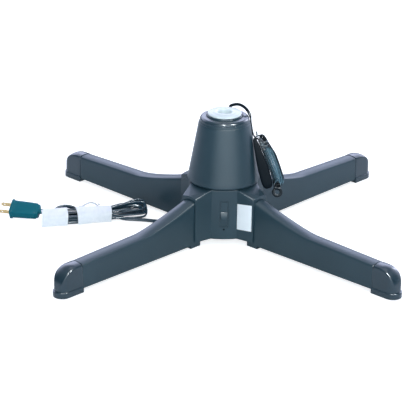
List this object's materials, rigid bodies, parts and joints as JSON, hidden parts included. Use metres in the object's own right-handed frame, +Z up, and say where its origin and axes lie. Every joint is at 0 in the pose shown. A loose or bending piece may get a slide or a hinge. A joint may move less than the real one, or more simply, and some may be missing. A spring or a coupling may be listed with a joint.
{
  "type": "rotating christmas tree stand",
  "caption": "Motorised stand for an artificial tree: plug-in moulded legs, a conical turret that turns on a ball bearing, nested pole adapters, a rotary mains supply and tied cords.",
  "frame": {"origin": "on the floor, under the turret's axis", "axes": "+Z up the turret's axis; -Y faces the switch; the legs point between the axes"},
  "size_m": [0.5286, 0.4428, 0.1777],
  "materials": {
    "body_plastic": "fine-grained moulded polypropylene, dark slate green",
    "gloss_plastic": "polished moulding, darker slate",
    "white_plastic": "smooth off-white moulding",
    "gear_nylon": "natural nylon",
    "steel": "zinc-plated or ground steel",
    "bronze": "sintered bronze",
    "copper": "bright copper alloy",
    "black_plastic": "moulded insulating plastic",
    "pad_rubber": "soft matte rubber",
    "cord_sheath": "smooth PVC sheath, very dark green",
    "teal_plastic": "smooth PVC moulding, teal",
    "blade_brass": "stamped brass"
  },
  "bodies": {
    "base": {"base_shell": "body_plastic", "bottom_cover": "body_plastic", "cover_screws": "steel", "motor": "steel", "motor_plate": "steel", "motor_screws": "steel", "lower_race": "steel", "spindle_bush": "bronze", "brush_holder": "black_plastic", "brushes": "copper", "switch_body": "black_plastic", "strain_relief": "cord_sheath", "mains_lead": "cord_sheath", "mains_hank": "cord_sheath", "plug_body": "teal_plastic", "plug_blades": "blade_brass"},
    "turret": {"turret_shell": "body_plastic", "turret_cap": "gloss_plastic", "turret_floor": "body_plastic", "floor_screws": "steel", "pole_tube": "body_plastic", "spindle": "steel", "upper_race": "steel", "slip_drum": "black_plastic", "slip_rings": "copper", "drive_cup": "gear_nylon", "spindle_screw": "steel", "pole_seat": "body_plastic", "cord_bush": "cord_sheath", "light_cord": "cord_sheath", "light_hank": "cord_sheath", "light_tap": "cord_sheath", "twist_tie": "cord_sheath"},
    "bearing_cage": {"ball_cage": "gear_nylon", "bearing_balls": "steel"},
    "motor_pinion": {"pinion": "bronze"},
    "switch_slider": {"switch_knob": "body_plastic"},
    "large_adapter": {"adapter_large": "white_plastic"},
    "middle_adapter": {"adapter_middle": "white_plastic"},
    "small_adapter": {"adapter_small": "white_plastic"},
    "leg_front_right": {"leg_front_right": "body_plastic", "toe_front_right": "gloss_plastic", "pad_front_right": "pad_rubber"},
    "leg_front_left": {"leg_front_left": "body_plastic", "toe_front_left": "gloss_plastic", "pad_front_left": "pad_rubber"},
    "leg_rear_left": {"leg_rear_left": "body_plastic", "toe_rear_left": "gloss_plastic", "pad_rear_left": "pad_rubber"},
    "leg_rear_right": {"leg_rear_right": "body_plastic", "toe_rear_right": "gloss_plastic", "pad_rear_right": "pad_rubber"}
  },
  "joints": [
    {"name": "turret_spin", "type": "hinge", "parent": "base", "child": "turret", "pos_m": [0, 0, 0.079], "axis": [0, 0, 1], "continuous": true},
    {"name": "cage_spin", "type": "hinge", "parent": "base", "child": "bearing_cage", "pos_m": [0, 0, 0.0813], "axis": [0, 0, 1], "continuous": true},
    {"name": "pinion_spin", "type": "hinge", "parent": "base", "child": "motor_pinion", "pos_m": [0, 0.015, 0.04], "axis": [0, 0, 1], "continuous": true},
    {"name": "switch_slide", "type": "slide", "parent": "base", "child": "switch_slider", "axis": [0, 0, -1], "range_m": [0, 0.008]},
    {"name": "large_adapter_lift", "type": "slide", "parent": "turret", "child": "large_adapter", "axis": [0, 0, 1], "range_m": [0, 0.066]},
    {"name": "middle_adapter_lift", "type": "slide", "parent": "large_adapter", "child": "middle_adapter", "axis": [0, 0, 1], "range_m": [0, 0.066]},
    {"name": "small_adapter_lift", "type": "slide", "parent": "middle_adapter", "child": "small_adapter", "axis": [0, 0, 1], "range_m": [0, 0.066]},
    {"name": "leg_front_right_slide", "type": "slide", "parent": "base", "child": "leg_front_right", "axis": [0.7071, -0.7071, 0], "range_m": [0, 0.021]},
    {"name": "leg_front_left_slide", "type": "slide", "parent": "base", "child": "leg_front_left", "axis": [-0.7071, -0.7071, 0], "range_m": [0, 0.021]},
    {"name": "leg_rear_left_slide", "type": "slide", "parent": "base", "child": "leg_rear_left", "axis": [-0.7071, 0.7071, 0], "range_m": [0, 0.021]},
    {"name": "leg_rear_right_slide", "type": "slide", "parent": "base", "child": "leg_rear_right", "axis": [0.7071, 0.7071, 0], "range_m": [0, 0.021]}
  ],
  "couplings": [
    {"joint": "cage_spin", "follows": "turret_spin", "ratio": 0.5},
    {"joint": "pinion_spin", "follows": "turret_spin", "ratio": 3.5}
  ]
}
